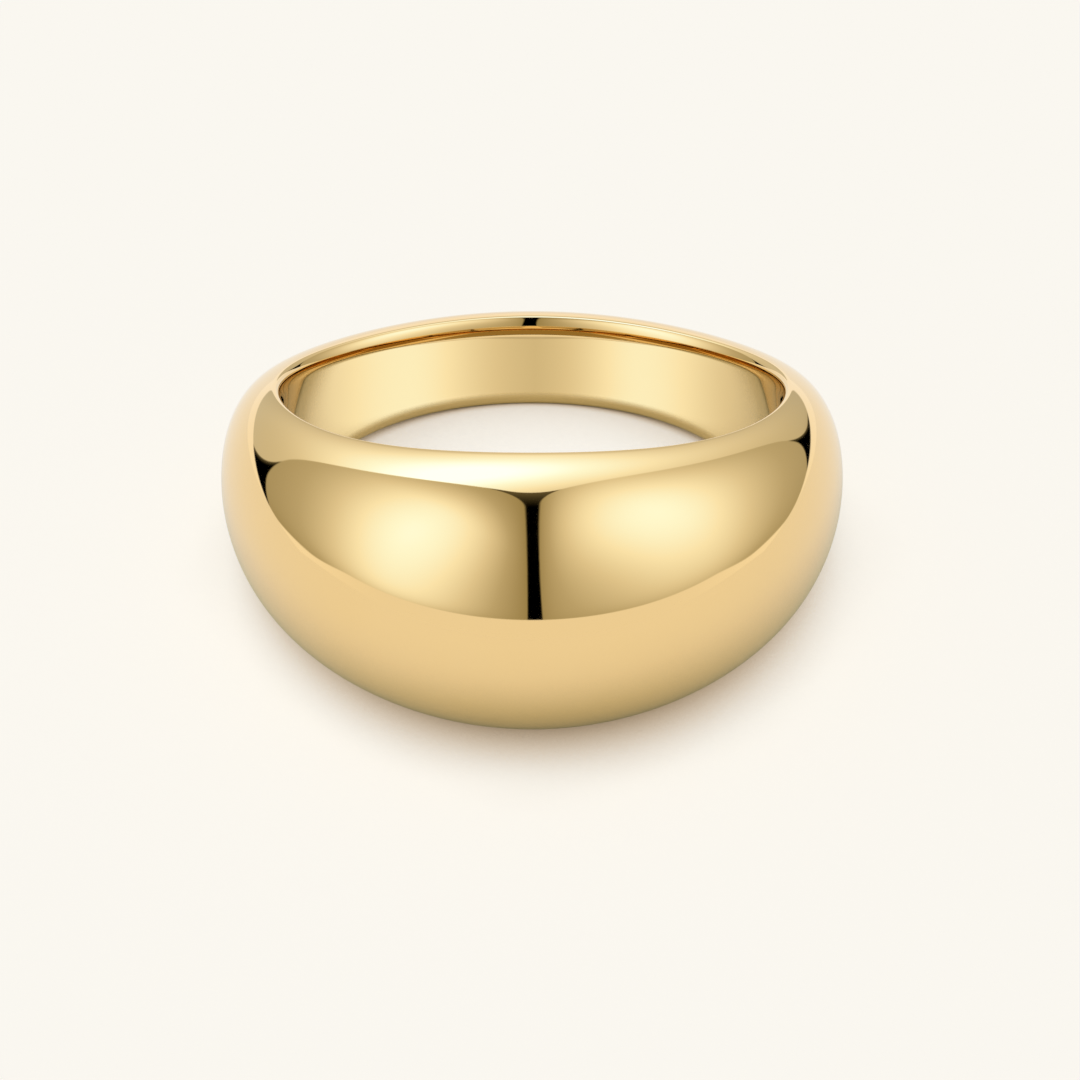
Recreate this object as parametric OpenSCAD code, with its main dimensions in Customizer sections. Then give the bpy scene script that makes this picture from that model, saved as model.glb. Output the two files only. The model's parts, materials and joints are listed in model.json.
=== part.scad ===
// Dome ring: one piece of polished metal. A half-round band that swells evenly
// in width and height from a slim back to a wide, high dome.
// It lies on its side, finger hole up, as it settles by itself: the wide dome
// and the slim back both touch the surface, so the hole leans to the back.
// +X is to the side, -Y to the crown of the dome, +Z up, and z = 0 the surface.

/* [Finger hole] */
// Inner diameter in mm: 17.3 is a US size 7
inner_diameter = 17.3; // [14:0.1:22.2]

/* [Width along the finger] */
// Width at the crown of the dome
crown_width = 10.2; // [8:0.1:14]
// Width at the back of the finger
back_width = 3.4; // [2.6:0.1:6]
// Width halfway from crown to side, as a share of the way from back to crown
shoulder_share = 0.8; // [0.7:0.01:0.85]
// The same share at the side, a quarter turn from the crown
side_share = 0.47; // [0.35:0.01:0.5]
// The same share halfway from side to back
quarter_share = 0.09; // [0.05:0.01:0.15]

/* [Thickness of metal] */
// Height of the dome above the finger hole at its crown
crown_height = 5.2; // [3:0.1:7]
// Thickness at the back
back_thickness = 2.1; // [1.6:0.1:3]
// How closely the height gathers round the crown: more is a shorter dome
gather = 6; // [2:0.5:8]

/* [Section] */
// Fullness of the crown's section: 2 is half round, more is squarer
crown_fullness = 1.9; // [1.8:0.05:3]
// Fullness of the back's section
back_fullness = 2.2; // [1.8:0.05:3]
// Softened rim round each end of the finger hole: how far it opens outwards
rim_depth = 0.3; // [0.15:0.01:0.4]
// How far the softened rim reaches down the wall of the hole
rim_reach = 0.65; // [0.3:0.05:0.9]

/* [Facets] */
// Sections round the ring
sections = 120; // [72:24:144]
// Steps across the outside of a section
outer_steps = 20; // [12:2:24]

/* [Hidden] */

bore_radius = inner_diameter / 2;
// The rim's arc starts this far up from the wall, so that the bore meets it at
// a clear angle, and runs on inwards by the allowance that the bore cuts away
rim_start = 35;
rim_steps = 5;
bore_allowance = 0.06;
// Facets of the bore, a true cylinder
bore_facets = 144;
// Halvings in the search for the resting tilt, and the steepest tilt tried
tilt_halvings = 24;
steepest_tilt = 45;

// Share of the dome's swell at an angle from the crown: 1 there, 0 at the back
function swell(a) = pow((1 + cos(a)) / 2, gather);
function thickness(a) = back_thickness + (crown_height - back_thickness) * swell(a);
function fullness(a) = back_fullness + (crown_fullness - back_fullness) * (1 + cos(a)) / 2;

// Width as a smooth wave through its values at five even stations, which run
// from the crown round to the back
station_shares = [1, shoulder_share, side_share, quarter_share, 0];
last = len(station_shares) - 1;
function end_half(i) = i == 0 || i == last ? 0.5 : 1;
waves = [
    for (k = [0:last])
        2 / last * end_half(k)
            * (station_shares * [for (j = [0:last]) end_half(j) * cos(180 * j * k / last)])
];
function width(a) =
    back_width + (crown_width - back_width) * (waves * [for (k = [0:last]) cos(k * a)]);

// Height of the rounded outside over the mid-plane, r out from the bore wall
function shoulder(a, r) =
    width(a) / 2 * pow(1 - pow(r / thickness(a), fullness(a)), 1 / fullness(a));

// Points of the section at angle a from the crown, each [radius, height]
function rim_point(a, turn) = [
    bore_radius + rim_depth * (1 - cos(turn)),
    shoulder(a, rim_depth) - rim_reach * (1 - sin(turn))
];
function inner_point(a) =
    let (start = rim_point(a, rim_start), run = start[0] - bore_radius + bore_allowance)
    [start[0] - run, start[1] - run * rim_reach / (rim_depth * tan(rim_start))];
function outer_point(a, turn) = [
    bore_radius + thickness(a) * pow(cos(turn), 2 / fullness(a)),
    width(a) / 2 * pow(sin(turn), 2 / fullness(a))
];
// Turn at which the outside leaves the rim's arc
function leave_turn(a) = acos(pow(rim_depth / thickness(a), fullness(a) / 2));
half_steps = outer_steps / 2;

// Top half of the section, from inside the bore over the rim to the outside
function top_half(a) = concat(
    [inner_point(a)],
    [for (i = [0:rim_steps]) rim_point(a, rim_start + (90 - rim_start) * i / rim_steps)],
    [for (i = [1:half_steps - 1]) outer_point(a, leave_turn(a) * (1 - i / half_steps))]
);
function flipped(p) = [p[0], -p[1]];
function section(a) =
    let (top = top_half(a), n = len(top))
    concat(
        top,
        [[bore_radius + thickness(a), 0]],
        [for (i = [n - 1:-1:0]) flipped(top[i])]
    );

// The sections set round the hole, the crown towards -Y
points_across = len(section(0));
body_points = [
    for (s = [0:sections - 1])
        let (a = 360 * s / sections)
        for (p = section(a)) [p[0] * sin(a), -p[0] * cos(a), p[1]]
];
function corner(s, i) = (s % sections) * points_across + i % points_across;
body_faces = [
    for (s = [0:sections - 1], i = [0:points_across - 1])
        each [
            [corner(s, i), corner(s + 1, i), corner(s, i + 1)],
            [corner(s, i + 1), corner(s + 1, i), corner(s + 1, i + 1)]
        ]
];

// Resting tilt: the dome and the back have their lowest points level
function height(p, tilt) = p[1] * sin(-tilt) + p[2] * cos(tilt);
function depth(p, tilt) = p[1] * cos(tilt) + p[2] * sin(tilt);
crown_line = [for (p = section(0)) [0, -p[0], p[1]]];
back_line = [for (p = section(180)) [0, p[0], p[1]]];
function lowest(line, tilt) = min([for (p = line) height(p, tilt)]);
function level_tilt(low, high, n) =
    let (middle = (low + high) / 2)
    n == 0 ? middle
    : lowest(crown_line, middle) < lowest(back_line, middle) ? level_tilt(middle, high, n - 1)
    : level_tilt(low, middle, n - 1);
rest_tilt = level_tilt(0, steepest_tilt, tilt_halvings);

// Lift onto the surface, and the shift that centres the ring over the origin
lift = -lowest(body_points, rest_tilt);
depths = [for (p = body_points) depth(p, rest_tilt)];
shift = -(min(depths) + max(depths)) / 2;

module as_it_rests() {
    translate([0, shift, lift]) rotate([-rest_tilt, 0, 0]) children();
}

module ring() {
    color([0.93, 0.76, 0.42])
        as_it_rests()
            difference() {
                polyhedron(points = body_points, faces = body_faces, convexity = 6);
                cylinder(r = bore_radius, h = 2 * crown_width, center = true, $fn = bore_facets);
            }
}

ring();
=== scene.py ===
import json
import math

import bpy
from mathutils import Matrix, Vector


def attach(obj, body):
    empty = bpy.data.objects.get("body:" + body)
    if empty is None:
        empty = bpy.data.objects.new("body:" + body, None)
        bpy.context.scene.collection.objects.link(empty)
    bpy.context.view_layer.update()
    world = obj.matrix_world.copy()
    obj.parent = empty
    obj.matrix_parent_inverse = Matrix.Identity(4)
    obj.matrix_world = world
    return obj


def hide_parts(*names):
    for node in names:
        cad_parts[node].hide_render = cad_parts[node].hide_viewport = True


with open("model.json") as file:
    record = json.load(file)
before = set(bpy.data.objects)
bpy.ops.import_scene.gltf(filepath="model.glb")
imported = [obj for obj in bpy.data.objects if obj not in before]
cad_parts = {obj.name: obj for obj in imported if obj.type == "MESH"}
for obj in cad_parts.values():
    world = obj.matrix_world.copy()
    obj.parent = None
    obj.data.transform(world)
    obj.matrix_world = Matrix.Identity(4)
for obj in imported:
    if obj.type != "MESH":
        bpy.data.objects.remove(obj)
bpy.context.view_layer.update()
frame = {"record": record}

MM = 0.001
HOLE = frame["record"]["mounts"][0]

# Sizes of the ring, in metres. The hole's size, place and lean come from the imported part
HOLE_RADIUS = HOLE["dims"]["r_mm"] * MM
HOLE_CENTRE = Vector(HOLE["pos_m"])
HOLE_AXIS = Vector(HOLE["axis"]).normalized()
LEAN = math.atan2(HOLE_AXIS.y, HOLE_AXIS.z)
CROWN_WIDTH = 10.2 * MM
BACK_WIDTH = 3.4 * MM
# Width halfway from crown to side, at the side, and halfway from side to back, each as
# a share of the way from back to crown
SHOULDER_SHARE = 0.8
SIDE_SHARE = 0.47
QUARTER_SHARE = 0.09
CROWN_HEIGHT = 5.2 * MM
BACK_THICKNESS = 2.1 * MM
# How closely the height gathers round the crown
GATHER = 6.0
# Fullness of the section: 2 is half round, more is squarer
CROWN_FULLNESS = 1.9
BACK_FULLNESS = 2.2
# Softened rim of the hole: how far it opens outwards and reaches down the wall
RIM_DEPTH = 0.3 * MM
RIM_REACH = 0.65 * MM

# Fineness of the ring's mesh
SECTIONS = 540
STEPS_OUTSIDE = 40
STEPS_ROUND_RIM = 14
STEPS_ALONG_WALL = 6
MERGE_DISTANCE = 0.002 * MM

# Camera: a long lens, so that the ring's near and far sides keep their proportion. The
# sensor is in millimetres, the distances are in metres
IMAGE_SIZE = 1080
SENSOR = 36.0
CAMERA_DISTANCE = 0.6
NEAREST_SEEN = 0.01
FARTHEST_SEEN = 10.0
# The photo's scale, its angle to the ring's mid-plane, and the middle of the hole in it
PIXELS_PER_MM = 28.75
ANGLE_TO_MID_PLANE = math.radians(26.38)
HOLE_CENTRE_PIXEL = (532.0, 471.2)

# How much light the paper gives back, and the colour of its glow and of the distance
# behind it, as linear colours
PAPER = (0.40, 0.40, 0.40)
FAR_AIR = (0.956, 0.930, 0.871)
# Share of the open air over the paper from which it is fully lit, and how its light grows
# up to there, as painted shade: for the paper as seen, and for the paper in the metal's
# mirror
LIT_FROM = 0.61
LIT_POWER = 0.66
MIRRORED_LIT_FROM = 0.93
MIRRORED_POWER = 1.1
# How much the painted shade dims even the lit paper as its share of open air falls
FAINT_SHADE = 0.14
# Colour painted into the shade for the warm light that the gold beside it gives, as seen
# and as mirrored, and the brightness from which it fades out and over which it does
SHADE_COLOUR = (0.956, 0.620, 0.310)
MIRRORED_SHADE_COLOUR = (0.956, 0.900, 0.480)
SHADE_COLOUR_FROM = 0.1
SHADE_COLOUR_OVER = 0.7
# Where most of the painted light on the paper comes from: the open air over it is
# measured round this direction
PAINTED_LIGHT_COMES_FROM = (-0.08, -0.03, 1.0)
# How far away things still take light from the paper in its painted shade, and how many
# looks are taken
SHADE_REACH = 30 * MM
SHADE_SAMPLES = 8
# Inside the finger hole the mirrored paper fades out from the wall to the middle, so that
# the inner wall mirrors painted shade toward its foot: the circle where it ends, how far
# the fade reaches, and how far back the circle lies
HOLE_PAPER_RADIUS = 7.0 * MM
HOLE_PAPER_FADE = 1.7 * MM
HOLE_PAPER_BACK = 0.9 * MM
# How far the mirrored paper reaches round the ring, how much farther to the front, and
# how deep it lies under the plain paper
MIRRORED_RADIUS = 37 * MM
MIRRORED_FRONT = 110 * MM
MIRRORED_DEPTH = 0.05 * MM
# How far the plain paper reaches, and the corners of each circle of paper
FAR_RADIUS = 3.0
CIRCLE_CORNERS = 128

# Light tent round the ring and the camera, seen only in the metal's reflections. It
# leans back a little more than the ring
TENT_RADIUS = 2.0
TENT_BANDS = 48
TENT_COLUMNS = 96
TENT_LEAN = math.radians(15.6)
# Softness of the edges of the cards and of the sweep
TENT_EDGE = 0.012
# How many times brighter the cards are than CARD_LIGHT gives them
CARD_STRENGTH = 3.0


class Sum:
    """A value in a node tree that ordinary sums can be written with."""

    def __init__(self, tree, value):
        self.tree = tree
        self.value = value

    def step(self, operation, *others):
        """The outcome of one operation on this value and the others."""
        node = self.tree.nodes.new("ShaderNodeMath")
        node.operation = operation
        for socket, other in zip(node.inputs, (self, *others)):
            plug(self.tree, other, socket)
        return Sum(self.tree, node.outputs[0])

    def __add__(self, other):
        return self.step("ADD", other)

    def __sub__(self, other):
        return self.step("SUBTRACT", other)

    def __mul__(self, other):
        return self.step("MULTIPLY", other)

    def __truediv__(self, other):
        return self.step("DIVIDE", other)

    def __pow__(self, other):
        return self.step("POWER", other)

    def __rsub__(self, other):
        return Sum(self.tree, other).step("SUBTRACT", self)

    __radd__ = __add__
    __rmul__ = __mul__

    def __neg__(self):
        return self * -1.0

    def cos(self):
        return self.step("COSINE")

    def sin(self):
        return self.step("SINE")

    def arc_cos(self):
        return self.step("ARCCOSINE")

    def size(self):
        return self.step("ABSOLUTE")

    def sign(self):
        return self.step("SIGN")

    def root(self):
        return self.step("SQRT")

    def exp(self):
        return self.step("EXPONENT")

    def least(self, other):
        return self.step("MINIMUM", other)

    def most(self, other):
        return self.step("MAXIMUM", other)

    def below(self, other):
        return self.step("LESS_THAN", other)

    def held(self):
        """The value kept between 0 and 1."""
        return self.least(1.0).most(0.0)


def plug(tree, value, socket):
    """Sets a socket to a number or links it to another socket."""
    if isinstance(value, Sum):
        value = value.value
    if isinstance(value, bpy.types.NodeSocket):
        tree.links.new(value, socket)
    else:
        socket.default_value = value


def parts_of(tree, vector):
    """The three parts of a vector, ready for sums."""
    node = tree.nodes.new("ShaderNodeSeparateXYZ")
    tree.links.new(vector, node.inputs[0])
    return [Sum(tree, socket) for socket in node.outputs]


def choose(test, if_one, if_zero):
    """if_one where the test is 1, and if_zero where it is 0."""
    return test * if_one + (1.0 - test) * if_zero


def new_material(name):
    """A fresh material, its node tree and its main shader."""
    material = bpy.data.materials.new(name)
    material.use_nodes = True
    return material, material.node_tree, material.node_tree.nodes["Principled BSDF"]


# The ring

RING_INPUTS = {
    "Hole radius": ("NodeSocketFloat", HOLE_RADIUS),
    "Crown width": ("NodeSocketFloat", CROWN_WIDTH),
    "Back width": ("NodeSocketFloat", BACK_WIDTH),
    "Shoulder share": ("NodeSocketFloat", SHOULDER_SHARE),
    "Side share": ("NodeSocketFloat", SIDE_SHARE),
    "Quarter share": ("NodeSocketFloat", QUARTER_SHARE),
    "Crown height": ("NodeSocketFloat", CROWN_HEIGHT),
    "Back thickness": ("NodeSocketFloat", BACK_THICKNESS),
    "Gather": ("NodeSocketFloat", GATHER),
    "Crown fullness": ("NodeSocketFloat", CROWN_FULLNESS),
    "Back fullness": ("NodeSocketFloat", BACK_FULLNESS),
    "Rim depth": ("NodeSocketFloat", RIM_DEPTH),
    "Rim reach": ("NodeSocketFloat", RIM_REACH),
    "Sections": ("NodeSocketInt", SECTIONS),
    "Steps outside": ("NodeSocketInt", STEPS_OUTSIDE),
    "Steps round rim": ("NodeSocketInt", STEPS_ROUND_RIM),
    "Steps along wall": ("NodeSocketInt", STEPS_ALONG_WALL),
    "Lean": ("NodeSocketFloat", LEAN),
    "Centre": ("NodeSocketVector", HOLE_CENTRE),
}


def width_wave(tree, given, around):
    """Width of the band: a smooth wave through its values at five even stations,
    from the crown round to the back."""
    stations = [
        Sum(tree, 1.0),
        given["Shoulder share"],
        given["Side share"],
        given["Quarter share"],
        Sum(tree, 0.0),
    ]
    last = len(stations) - 1
    share = Sum(tree, 0.0)
    for k in range(last + 1):
        wave = Sum(tree, 0.0)
        for j, station in enumerate(stations):
            weight = math.cos(math.pi * j * k / last) / (2 if j in (0, last) else 1)
            wave = wave + station * weight
        wave = wave * (2 / last / (2 if k in (0, last) else 1))
        share = share + wave * (around * float(k)).cos()
    back = given["Back width"]
    return back + (given["Crown width"] - back) * share


def band_point(tree, given, across, around):
    """Radius and height of a point of the band. across runs from the middle of the
    outside (0) over the rim to the middle of the inner wall (0.5), on either side."""
    toward_crown = (around.cos() + 1.0) * 0.5
    back_thickness = given["Back thickness"]
    thickness = back_thickness + (given["Crown height"] - back_thickness) * (
        toward_crown ** given["Gather"]
    )
    back_fullness = given["Back fullness"]
    fullness = back_fullness + (given["Crown fullness"] - back_fullness) * toward_crown
    half_width = width_wave(tree, given, around) * 0.5
    rim = given["Rim depth"]
    hole = given["Hole radius"]

    outside, round_rim, along_wall = (
        given["Steps outside"],
        given["Steps round rim"],
        given["Steps along wall"],
    )
    step = across.size() * 2.0 * (outside + round_rim + along_wall)

    leave = ((rim / thickness) ** (fullness * 0.5)).arc_cos()
    turn = leave * (step / outside).held()
    outer_radius = hole + thickness * (turn.cos() ** (2.0 * fullness ** -1.0))
    outer_height = half_width * (turn.sin() ** (2.0 * fullness ** -1.0))

    shoulder = half_width * (
        (1.0 - (rim / thickness) ** fullness) ** (fullness ** -1.0)
    )
    rim_turn = (1.0 - ((step - outside) / round_rim).held()) * (math.pi / 2)
    rim_radius = hole + rim * (1.0 - rim_turn.cos())
    rim_height = shoulder - given["Rim reach"] * (1.0 - rim_turn.sin())
    down_wall = 1.0 - ((step - outside - round_rim) / along_wall).held()

    is_outside = step.below(outside)
    radius = choose(is_outside, outer_radius, rim_radius)
    height = choose(is_outside, outer_height, rim_height * down_wall)
    return radius, height * across.sign()


def ring_tree(gold):
    """Nodes that bend a flat grid into the ring: one way round the finger, the
    other way over the outside, the rims and the inner wall."""
    tree = bpy.data.node_groups.new("dome ring", "GeometryNodeTree")
    for name, (kind, _) in RING_INPUTS.items():
        tree.interface.new_socket(name, in_out="INPUT", socket_type=kind)
    tree.interface.new_socket("Ring", in_out="OUTPUT", socket_type="NodeSocketGeometry")
    inlet = tree.nodes.new("NodeGroupInput")
    given = {name: Sum(tree, inlet.outputs[name]) for name in RING_INPUTS}

    grid = tree.nodes.new("GeometryNodeMeshGrid")
    steps = given["Steps outside"] + given["Steps round rim"] + given["Steps along wall"]
    plug(tree, 1.0, grid.inputs["Size X"])
    plug(tree, 1.0, grid.inputs["Size Y"])
    plug(tree, given["Sections"] + 1.0, grid.inputs["Vertices X"])
    plug(tree, steps * 2.0 + 1.0, grid.inputs["Vertices Y"])

    place = tree.nodes.new("GeometryNodeInputPosition")
    way_round, across, _ = parts_of(tree, place.outputs[0])
    around = way_round * (2 * math.pi)
    radius, height = band_point(tree, given, across, around)
    point = tree.nodes.new("ShaderNodeCombineXYZ")
    plug(tree, radius * around.sin(), point.inputs["X"])
    plug(tree, -(radius * around.cos()), point.inputs["Y"])
    plug(tree, height, point.inputs["Z"])

    bend = tree.nodes.new("GeometryNodeSetPosition")
    tree.links.new(grid.outputs["Mesh"], bend.inputs["Geometry"])
    tree.links.new(point.outputs[0], bend.inputs["Position"])

    close = tree.nodes.new("GeometryNodeMergeByDistance")
    close.inputs["Distance"].default_value = MERGE_DISTANCE
    tree.links.new(bend.outputs[0], close.inputs["Geometry"])

    turn = tree.nodes.new("ShaderNodeCombineXYZ")
    plug(tree, -given["Lean"], turn.inputs["X"])
    lay = tree.nodes.new("GeometryNodeTransform")
    tree.links.new(close.outputs[0], lay.inputs["Geometry"])
    tree.links.new(turn.outputs[0], lay.inputs["Rotation"])
    plug(tree, given["Centre"], lay.inputs["Translation"])

    smooth = tree.nodes.new("GeometryNodeSetShadeSmooth")
    tree.links.new(lay.outputs[0], smooth.inputs["Geometry"])
    realize = tree.nodes.new("GeometryNodeRealizeInstances")
    tree.links.new(smooth.outputs[0], realize.inputs[0])
    cover = tree.nodes.new("GeometryNodeSetMaterial")
    cover.inputs["Material"].default_value = gold
    tree.links.new(realize.outputs[0], cover.inputs["Geometry"])
    outlet = tree.nodes.new("NodeGroupOutput")
    tree.links.new(cover.outputs[0], outlet.inputs["Ring"])
    return tree


def make_ring(gold):
    """The ring as one plain closed mesh."""
    carrier = bpy.data.objects.new("ring_maker", bpy.data.meshes.new("ring_maker"))
    bpy.context.scene.collection.objects.link(carrier)
    modifier = carrier.modifiers.new("dome ring", "NODES")
    modifier.node_group = ring_tree(gold)
    for item in modifier.node_group.interface.items_tree:
        if item.in_out == "INPUT":
            modifier[item.identifier] = RING_INPUTS[item.name][1]
    bpy.context.view_layer.update()
    evaluated = carrier.evaluated_get(bpy.context.evaluated_depsgraph_get())
    mesh = bpy.data.meshes.new_from_object(evaluated)
    mesh.name = "polished_ring"
    carrier.modifiers.remove(modifier)
    bpy.data.objects.remove(carrier)
    ring = bpy.data.objects.new("polished_ring", mesh)
    bpy.context.scene.collection.objects.link(ring)
    return ring


# Two close tones of the gold, its roughness where smoothest and dullest, and how much
# clear shine lies over it
GOLD = (0.894, 0.656, 0.325)
GOLD_DEEPER = (0.876, 0.632, 0.300)
POLISH_SMOOTHEST = 0.018
POLISH_DULLEST = 0.05
COAT = 0.15
# Fineness and detail of the clouds that make the change of tone, the haze and the lines
TONE_CLOUD = (180.0, 2.0)
HAZE_CLOUD = (900.0, 4.0)
LINE_CLOUD = (6000.0, 3.0)
# Values of the haze's cloud between which the polish goes from smoothest to dullest
HAZE_FROM = 0.35
HAZE_TO = 0.75
# The buffing lines are drawn out upwards, and this strong and high
LINE_STRETCH = (1.0, 1.0, 0.1)
LINE_STRENGTH = 0.02
LINE_HEIGHT = 0.004 * MM


def polished_gold():
    """Mirror polish with the faint unevenness that a buffing wheel leaves."""
    material, tree, shader = new_material("polished gold")
    shader.inputs["Metallic"].default_value = 1.0
    shader.inputs["Coat Weight"].default_value = COAT
    shader.inputs["Coat Roughness"].default_value = POLISH_SMOOTHEST
    place = tree.nodes.new("ShaderNodeTexCoord").outputs["Object"]

    def cloud(scale, detail, stretch=(1.0, 1.0, 1.0)):
        mapping = tree.nodes.new("ShaderNodeMapping")
        mapping.inputs["Scale"].default_value = stretch
        tree.links.new(place, mapping.inputs["Vector"])
        noise = tree.nodes.new("ShaderNodeTexNoise")
        noise.inputs["Scale"].default_value = scale
        noise.inputs["Detail"].default_value = detail
        tree.links.new(mapping.outputs[0], noise.inputs["Vector"])
        return noise.outputs["Fac"]

    tone = tree.nodes.new("ShaderNodeMix")
    tone.data_type = "RGBA"
    tree.links.new(cloud(*TONE_CLOUD), tone.inputs["Factor"])
    tone.inputs["A"].default_value = (*GOLD, 1.0)
    tone.inputs["B"].default_value = (*GOLD_DEEPER, 1.0)
    tree.links.new(tone.outputs["Result"], shader.inputs["Base Color"])

    haze = tree.nodes.new("ShaderNodeMapRange")
    haze.inputs["From Min"].default_value = HAZE_FROM
    haze.inputs["From Max"].default_value = HAZE_TO
    haze.inputs["To Min"].default_value = POLISH_SMOOTHEST
    haze.inputs["To Max"].default_value = POLISH_DULLEST
    tree.links.new(cloud(*HAZE_CLOUD), haze.inputs["Value"])
    tree.links.new(haze.outputs[0], shader.inputs["Roughness"])

    lines = tree.nodes.new("ShaderNodeBump")
    lines.inputs["Strength"].default_value = LINE_STRENGTH
    lines.inputs["Distance"].default_value = LINE_HEIGHT
    tree.links.new(cloud(*LINE_CLOUD, LINE_STRETCH), lines.inputs["Height"])
    tree.links.new(lines.outputs[0], shader.inputs["Normal"])
    return material


# Light

# Each soft card of the tent: its brightest point as azimuth and elevation in
# degrees (0 toward the camera, + to the right), its brightness there, how far it
# fades to the left, right, up and down, how far the slit and the foot dim it (all
# as sines), and its brightness where it has faded
CARDS = {
    "left": (-63.5, 59.5, 1.29, (0.59, 0.80, 0.43, 1.39), 0.35, 0.07, 0.0),
    "right": (80.0, 52.0, 1.02, (0.78, 0.57, 0.79, 1.02), 0.13, 0.09, 0.04),
    "back": (-155.0, 64.0, 1.30, (0.90, 0.60, 0.38, 0.41), 0.02, 0.01, 0.22),
}
# Colour of the card's light, a third of its real value, from dim to bright
CARD_LIGHT = [
    (0.0, (0.122, 0.109, 0.065)),
    (0.2, (0.187, 0.178, 0.141)),
    (0.4, (0.279, 0.279, 0.257)),
    (0.6, (0.362, 0.390, 0.402)),
    (0.8, (0.378, 0.480, 0.612)),
    (1.0, (0.400, 0.565, 0.940)),
]
# Brightness that has the last of these colours
FULL_BRIGHTNESS = 1.25
# How much brighter the faded back card is to its left, and over what width it gets so
BACK_LEFT_GLOW = 0.12
BACK_LEFT_OVER = 0.5

# From here on, places and widths in the tent are given for a tent of radius 1: x to
# the right, y to the back and z up

# Slit between the two front cards. Its right edge comes closer with height
SLIT_LEFT = 0.034
SLIT_RIGHT_AT_FOOT = 0.084
SLIT_RIGHT_CLOSES = 0.046
# Where the front cards end and the back card starts. The left seam is moved to the
# back, and the right one comes in to the front toward the foot
LEFT_SEAM = math.radians(-123.6)
LEFT_SEAM_OUT = 0.030
RIGHT_SEAM = math.radians(138.5)
RIGHT_SEAM_IN = 0.06
# Height at which each card ends below. The back card's foot rises to the right
LEFT_FOOT = -0.12
RIGHT_FOOT = -0.13
BACK_FOOT = 0.105
BACK_FOOT_RISE = 0.065
# Radius of each rounded corner of the cards
LEFT_FOOT_CORNER = 0.22
RIGHT_FOOT_CORNER = 0.36
BACK_LEFT_CORNER = 0.25
BACK_RIGHT_CORNER = 0.19
LEFT_TOP_CORNER = 0.17
RIGHT_TOP_CORNER = 0.09
BACK_TOP_CORNER = 0.14
# Dim light that spills past the back card's edge: how far, how much farther overhead,
# how closely that gathers overhead, and how strong it is at the edge
SPILL_REACH = 0.03
SPILL_REACH_ABOVE = 0.22
SPILL_GATHER = 4.0
SPILL = 0.35
# Top edge of the pale glow painted as paper that sweeps up round the ring, a painted
# reflection: its height, its rise at the back, a smaller rise in front, and a soft ridge
# straight behind
SWEEP_TOP = -0.08
SWEEP_RISE = 0.235
SWEEP_RISE_FROM = 0.42
SWEEP_RISE_OVER = 0.55
SWEEP_FRONT_RISE = 0.045
SWEEP_FRONT_FROM = 0.20
SWEEP_FRONT_OVER = 0.35
SWEEP_RIDGE = 0.25
SWEEP_RIDGE_OVER = 0.18
# How much brighter that painted paper glows from front to back
SWEEP_BACK_GLOW = 0.10
SWEEP_BACK_FROM = -0.5
SWEEP_BACK_OVER = 0.9
# Soft light that the inner wall mirrors from below: two glows at these azimuths, how
# tightly each gathers to the middle and to the side, their brightness over the dim
# light between them, and that light
LOW_GLOWS = ((62.0, 4.5, 1.9), (-54.0, 6.4, 3.3))
LOW_GLOW = 0.51
LOW_DIM = 0.36
# To the back it is dimmer by this share
LOW_BACK_FROM = 0.58
LOW_BACK_OVER = 0.20
LOW_BACK_DIM = 0.8
# Level of the world under which it takes the place of cards and sweep, and that edge
LOW_FROM = -0.23
LOW_EDGE = 0.02
# Level of the leaning tent under which it comes up from the dark
LOW_TOP_FROM = -0.28
LOW_TOP_OVER = 0.10
# Level of the world under which it goes over to an even light, and how bright that is
LOW_FOOT_FROM = -0.60
LOW_FOOT_OVER = 0.36
LOW_FOOT = 0.22


def direction(azimuth, elevation):
    """Unit vector in the tent: azimuth 0 is to the front, + to the right."""
    return Vector((
        math.sin(azimuth) * math.cos(elevation),
        -math.cos(azimuth) * math.cos(elevation),
        math.sin(elevation),
    ))


def rounded(first, second, radius):
    """How far inside two edges a point lies, where their corner is rounded."""
    reach = (radius - first).most(0.0) ** 2.0 + (radius - second).most(0.0) ** 2.0
    return radius - reach.root()


def soft_step(value):
    """0 up to 0, 1 from 1 on, and a soft slope between."""
    share = value.held()
    return share * share * (3.0 - share * 2.0)


def along(point, vector):
    """The point's extent along a fixed vector."""
    return point[0] * vector.x + point[1] * vector.y + point[2] * vector.z


def card_light(point, card, from_slit, from_foot):
    """Brightness of a card at a point of the tent."""
    azimuth, elevation, brightest, fades, slit_fade, foot_fade, dimmest = CARDS[card]
    azimuth = math.radians(azimuth)
    elevation = math.radians(elevation)
    right = direction(azimuth + math.pi / 2, 0.0)
    up = direction(azimuth, elevation + math.pi / 2)
    # Left and right are the camera's, for the card at the back too
    if card == "back":
        right = -right
    fall = 0.0
    for axis, (before, after) in ((right, fades[:2]), (up, (fades[3], fades[2]))):
        offset = along(point, axis)
        fall = fall + ((-offset).most(0.0) / before) ** 2.0
        fall = fall + (offset.most(0.0) / after) ** 2.0
    share = (-fall).exp()
    for distance, fade in ((from_slit, slit_fade), (from_foot, foot_fade)):
        share = share * (1.0 - (-(distance.most(0.0) / fade)).exp())
    if card == "back":
        dimmest = soft_step(-point[0] / BACK_LEFT_OVER) * BACK_LEFT_GLOW + dimmest
    return share * (brightest - dimmest) + dimmest


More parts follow.
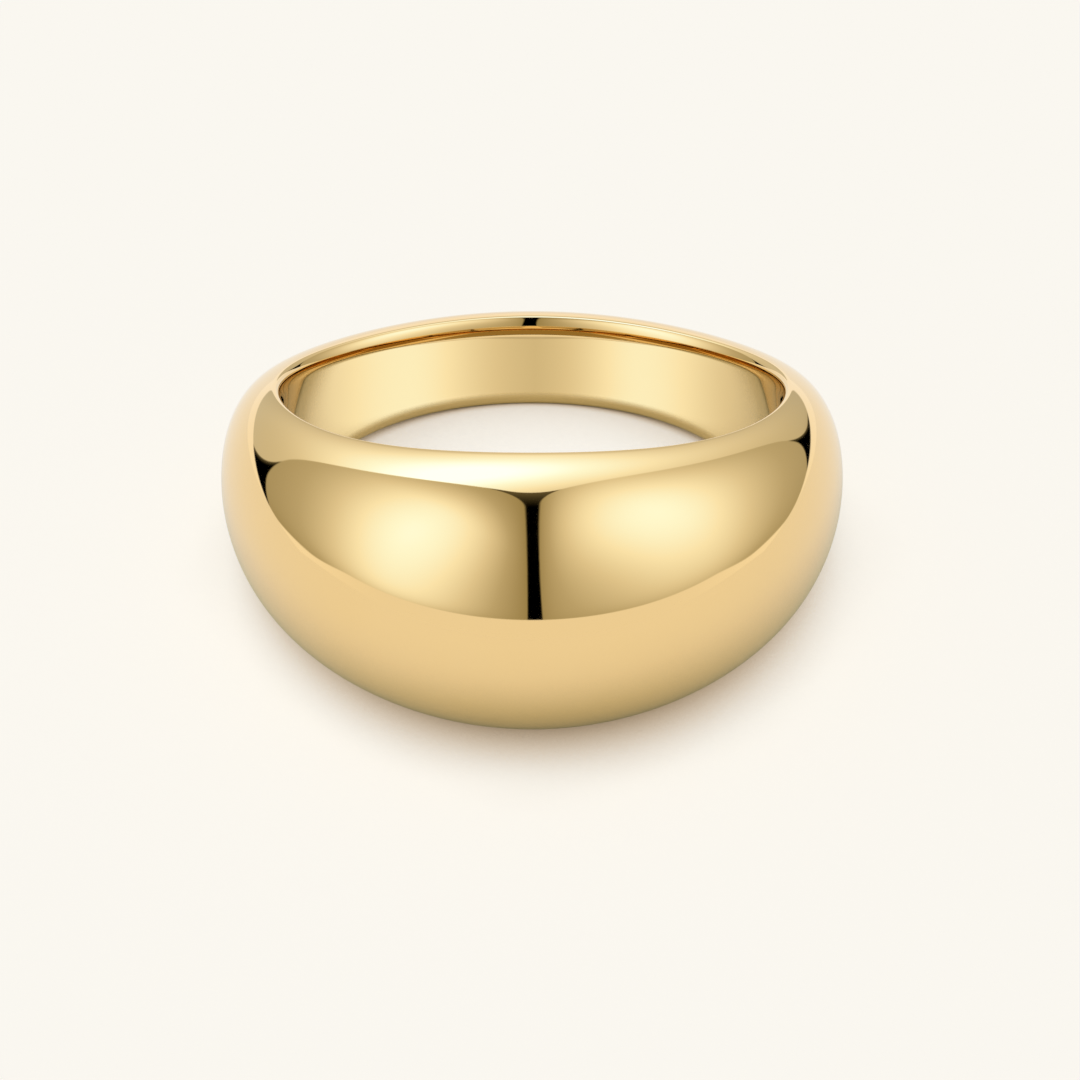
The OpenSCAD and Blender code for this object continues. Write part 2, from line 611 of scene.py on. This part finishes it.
def tent_material():
    """Three soft cards on black, over a pale glow painted as paper that sweeps up round
    the ring, with soft light below."""
    material, tree, shader = new_material("tent light")
    tree.nodes.remove(shader)
    place = tree.nodes.new("ShaderNodeTexCoord").outputs["Object"]
    unit = tree.nodes.new("ShaderNodeVectorMath")
    unit.operation = "NORMALIZE"
    tree.links.new(place, unit.inputs[0])
    lean = tree.nodes.new("ShaderNodeVectorRotate")
    lean.rotation_type = "X_AXIS"
    lean.inputs["Angle"].default_value = TENT_LEAN
    tree.links.new(unit.outputs[0], lean.inputs["Vector"])
    point = parts_of(tree, lean.outputs[0])
    x, y, z = point

    past_left_seam = along(point, direction(LEFT_SEAM + math.pi / 2, 0.0)) + LEFT_SEAM_OUT
    past_right_seam = (
        along(point, direction(RIGHT_SEAM - math.pi / 2, 0.0)) + (z - 1.0) * RIGHT_SEAM_IN
    )
    from_left_foot = z - LEFT_FOOT
    from_right_foot = z - RIGHT_FOOT
    from_back_foot = z - BACK_FOOT - x * BACK_FOOT_RISE
    from_slit_left = -x - SLIT_LEFT
    from_slit_right = x - SLIT_RIGHT_AT_FOOT + z * SLIT_RIGHT_CLOSES
    inside = {
        "left": rounded(past_left_seam, from_left_foot, LEFT_FOOT_CORNER).least(
            rounded(past_left_seam, from_slit_left, LEFT_TOP_CORNER)
        ),
        "right": rounded(past_right_seam, from_right_foot, RIGHT_FOOT_CORNER).least(
            rounded(past_right_seam, from_slit_right, RIGHT_TOP_CORNER)
        ),
        "back": rounded(-past_left_seam, from_back_foot, BACK_LEFT_CORNER)
        .least(rounded(-past_right_seam, from_back_foot, BACK_RIGHT_CORNER))
        .least(rounded(-past_left_seam, -past_right_seam, BACK_TOP_CORNER)),
    }
    fade_starts = {
        "left": (from_slit_left, from_left_foot),
        "right": (from_slit_right, from_right_foot),
        "back": (from_back_foot, from_back_foot),
    }
    brightness = Sum(tree, 0.0)
    lit = Sum(tree, 0.0)
    for card, depth in inside.items():
        share = (depth / TENT_EDGE + 0.5).held()
        brightness = brightness + share * card_light(point, card, *fade_starts[card])
        lit = lit + share

    colours = tree.nodes.new("ShaderNodeValToRGB")
    ramp = colours.color_ramp
    while len(ramp.elements) < len(CARD_LIGHT):
        ramp.elements.new(0.5)
    for element, (position, colour) in zip(ramp.elements, CARD_LIGHT):
        element.position = position
        element.color = (*colour, 1.0)
    spill_reach = z.most(0.0) ** SPILL_GATHER * SPILL_REACH_ABOVE + SPILL_REACH
    spill = (inside["back"] / spill_reach + 1.0).held()
    lit = lit.held().most(spill * spill * SPILL)

    height = parts_of(tree, unit.outputs[0])[2]
    below = ((LOW_FROM - height) / LOW_EDGE).held()
    level = (1.0 - z * z).root()
    glow = Sum(tree, 0.0)
    for azimuth, gather, gather_outside in LOW_GLOWS:
        outward = math.radians(azimuth + math.copysign(90.0, azimuth))
        azimuth = math.radians(azimuth)
        is_inside = along(point, direction(outward, 0.0)).below(0.0)
        beside = 1.0 - along(point, direction(azimuth, 0.0)) / level
        glow = glow.most((beside * -choose(is_inside, gather, gather_outside)).exp())
    top = soft_step((LOW_TOP_FROM - z) / LOW_TOP_OVER)
    down = soft_step((LOW_FOOT_FROM - height) / LOW_FOOT_OVER)
    back = soft_step((y - LOW_BACK_FROM) / LOW_BACK_OVER)
    low_light = (glow * LOW_GLOW + LOW_DIM) * top * (1.0 - back * LOW_BACK_DIM)
    low_light = choose(down, LOW_FOOT, low_light)
    light = choose(below, low_light, brightness)
    plug(tree, (light / FULL_BRIGHTNESS).held(), colours.inputs["Fac"])

    # Pale glow painted as paper sweeping up round the ring, seen only in the metal
    rise = soft_step((y - SWEEP_RISE_FROM) / SWEEP_RISE_OVER)
    front_rise = soft_step((SWEEP_FRONT_FROM - y) / SWEEP_FRONT_OVER)
    ridge = rise * soft_step(1.0 - x.size() / SWEEP_RIDGE_OVER)
    sweep_top = rise * SWEEP_RISE + front_rise * SWEEP_FRONT_RISE + SWEEP_TOP
    sweep_top = sweep_top + ridge * SWEEP_RIDGE
    on_sweep = ((sweep_top - z) / TENT_EDGE).held() * (1.0 - below)

    cards = tree.nodes.new("ShaderNodeEmission")
    tree.links.new(colours.outputs["Color"], cards.inputs["Color"])
    plug(tree, lit.most(below) * CARD_STRENGTH, cards.inputs["Strength"])
    sweep = tree.nodes.new("ShaderNodeEmission")
    sweep.inputs["Color"].default_value = (*FAR_AIR, 1.0)
    back_glow = soft_step((y - SWEEP_BACK_FROM) / SWEEP_BACK_OVER) * SWEEP_BACK_GLOW
    plug(tree, back_glow + 1.0, sweep.inputs["Strength"])
    either = tree.nodes.new("ShaderNodeMixShader")
    plug(tree, on_sweep, either.inputs["Fac"])
    tree.links.new(cards.outputs[0], either.inputs[1])
    tree.links.new(sweep.outputs[0], either.inputs[2])
    output = tree.nodes["Material Output"]
    tree.links.new(either.outputs[0], output.inputs["Surface"])
    return material


def paper_material(name, lit_from, power, shade_colour):
    """Smooth pale paper that glows evenly bright, but for painted shade close under the
    ring, drawn from how much open air lies over each point.
    """
    material, tree, shader = new_material(name)
    opening = tree.nodes.new("ShaderNodeAmbientOcclusion")
    opening.samples = SHADE_SAMPLES
    opening.inputs["Distance"].default_value = SHADE_REACH
    toward_painted_light = tree.nodes.new("ShaderNodeNormal")
    toward_painted_light.outputs[0].default_value = Vector(PAINTED_LIGHT_COMES_FROM).normalized()
    tree.links.new(toward_painted_light.outputs[0], opening.inputs["Normal"])
    # Painted shade: the paper's glow dims where little open air lies over it, close under
    # the ring
    open_air = Sum(tree, opening.outputs["AO"])
    light = (open_air / lit_from).held() ** power
    light = light * (1.0 - (1.0 - open_air) * FAINT_SHADE)
    shader.inputs["Roughness"].default_value = 1.0
    shader.inputs["Specular IOR Level"].default_value = 0.0
    shader.inputs["Base Color"].default_value = (*PAPER, 1.0)
    # Painted warm tint of the shade, standing in for light from the gold beside it
    tint = tree.nodes.new("ShaderNodeMix")
    tint.data_type = "RGBA"
    share = ((light - SHADE_COLOUR_FROM) / SHADE_COLOUR_OVER).held()
    plug(tree, share, tint.inputs["Factor"])
    tint.inputs["A"].default_value = (*shade_colour, 1.0)
    tint.inputs["B"].default_value = (*FAR_AIR, 1.0)
    tree.links.new(tint.outputs["Result"], shader.inputs["Emission Color"])
    plug(tree, light, shader.inputs["Emission Strength"])
    return material


def fade_in_hole(material):
    """Lets the tent show through toward the middle of the finger hole."""
    tree = material.node_tree
    paper = tree.nodes["Principled BSDF"]
    x, y, _ = parts_of(tree, tree.nodes.new("ShaderNodeTexCoord").outputs["Object"])
    y = y - HOLE_PAPER_BACK
    outward = (x * x + y * y).root()
    share = soft_step((outward - HOLE_PAPER_RADIUS) / HOLE_PAPER_FADE)
    clear = tree.nodes.new("ShaderNodeBsdfTransparent")
    either = tree.nodes.new("ShaderNodeMixShader")
    plug(tree, share, either.inputs["Fac"])
    tree.links.new(clear.outputs[0], either.inputs[1])
    tree.links.new(paper.outputs[0], either.inputs[2])
    output = tree.nodes["Material Output"]
    tree.links.new(either.outputs[0], output.inputs["Surface"])


def add_mesh(name, points, faces, material):
    """A piece of the studio, made of points and faces."""
    mesh = bpy.data.meshes.new(name)
    mesh.from_pydata(points, [], faces)
    mesh.materials.append(material)
    thing = bpy.data.objects.new(name, mesh)
    bpy.context.scene.collection.objects.link(thing)
    return thing


def circle(radius, height=0.0, count=CIRCLE_CORNERS, back=0.0, front=0.0):
    """Points of a circle, moved back or drawn out to the front."""
    points = []
    for k in range(count):
        angle = 2 * math.pi * k / count
        reach = radius + front * max(-math.sin(angle), 0.0)
        points.append((reach * math.cos(angle), reach * math.sin(angle) + back, height))
    return points


def make_floor():
    """The paper that the ring lies on, which the metal doesn't mirror, and a second,
    glowing one just under it for the metal alone, a painted reflection of the paper with
    its painted shade. There the tent takes over inside the hole and far out."""
    edge = circle(FAR_RADIUS)
    count = len(edge)
    paper = paper_material("pale paper", LIT_FROM, LIT_POWER, SHADE_COLOUR)
    floor = add_mesh("paper", edge, [list(range(count))], paper)
    floor.visible_glossy = False
    inner = circle(HOLE_PAPER_RADIUS, -MIRRORED_DEPTH, back=HOLE_PAPER_BACK)
    outer = circle(MIRRORED_RADIUS, -MIRRORED_DEPTH, front=MIRRORED_FRONT)
    border = [
        (k, k + count, (k + 1) % count + count, (k + 1) % count) for k in range(count)
    ]
    # Painted reflection: a glowing sheet that only the metal sees, carrying the painted
    # shade
    paper = paper_material(
        "mirrored paper", MIRRORED_LIT_FROM, MIRRORED_POWER, MIRRORED_SHADE_COLOUR
    )
    fade_in_hole(paper)
    mirrored = add_mesh("mirrored_paper", inner + outer, border, paper)
    mirrored.visible_camera = False
    for piece in (floor, mirrored):
        piece.visible_diffuse = False
        piece.visible_shadow = False


def make_tent():
    """A sphere of light that only the polished metal sees."""
    bands, count = TENT_BANDS, TENT_COLUMNS
    points = [(0.0, 0.0, -TENT_RADIUS)]
    for band in range(1, bands):
        tilt = math.pi * (band / bands - 0.5)
        radius, height = TENT_RADIUS * math.cos(tilt), TENT_RADIUS * math.sin(tilt)
        points += circle(radius, height, count)
    points.append((0.0, 0.0, TENT_RADIUS))
    top = len(points) - 1
    faces = []
    for k in range(count):
        after = (k + 1) % count
        faces.append((0, 1 + k, 1 + after))
        faces.append((top, top - count + after, top - count + k))
        for band in range(bands - 2):
            low, high = 1 + band * count, 1 + (band + 1) * count
            faces.append((low + k, high + k, high + after, low + after))
    material = tent_material()
    material.cycles.emission_sampling = "NONE"
    tent = add_mesh("light_tent", points, faces, material)
    tent.visible_camera = False
    tent.visible_diffuse = False
    tent.visible_shadow = False
    tent.visible_transmission = False


def make_air():
    """Pale distance behind the paper, which gives no light."""
    world = bpy.data.worlds.new("air")
    bpy.context.scene.world = world
    world.use_nodes = True
    background = world.node_tree.nodes["Background"]
    background.inputs["Color"].default_value = (*FAR_AIR, 1.0)
    world.cycles_visibility.diffuse = False
    world.cycles_visibility.glossy = False


def make_camera():
    """Looks down on the ring at the photo's angle to its mid-plane."""
    elevation = ANGLE_TO_MID_PLANE + LEAN
    toward_camera = Vector((0.0, -math.cos(elevation), math.sin(elevation)))
    right = Vector((1.0, 0.0, 0.0))
    up = Vector((0.0, math.sin(elevation), math.cos(elevation)))
    pixel = MM / PIXELS_PER_MM
    middle = IMAGE_SIZE / 2
    aim = (
        HOLE_CENTRE
        + right * (middle - HOLE_CENTRE_PIXEL[0]) * pixel
        - up * (middle - HOLE_CENTRE_PIXEL[1]) * pixel
    )
    camera = bpy.data.objects.new("camera", bpy.data.cameras.new("camera"))
    bpy.context.scene.collection.objects.link(camera)
    camera.data.sensor_width = SENSOR
    camera.data.lens = SENSOR * CAMERA_DISTANCE / (IMAGE_SIZE * pixel)
    camera.data.clip_start = NEAREST_SEEN
    camera.data.clip_end = FARTHEST_SEEN
    camera.location = aim + toward_camera * CAMERA_DISTANCE
    camera.rotation_mode = "QUATERNION"
    camera.rotation_quaternion = (-toward_camera).to_track_quat("-Z", "Y")
    bpy.context.scene.camera = camera


make_camera()
make_air()
make_tent()
make_floor()
bpy.context.scene.view_settings.view_transform = "Standard"

ring = make_ring(polished_gold())
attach(ring, "root")
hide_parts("ring")
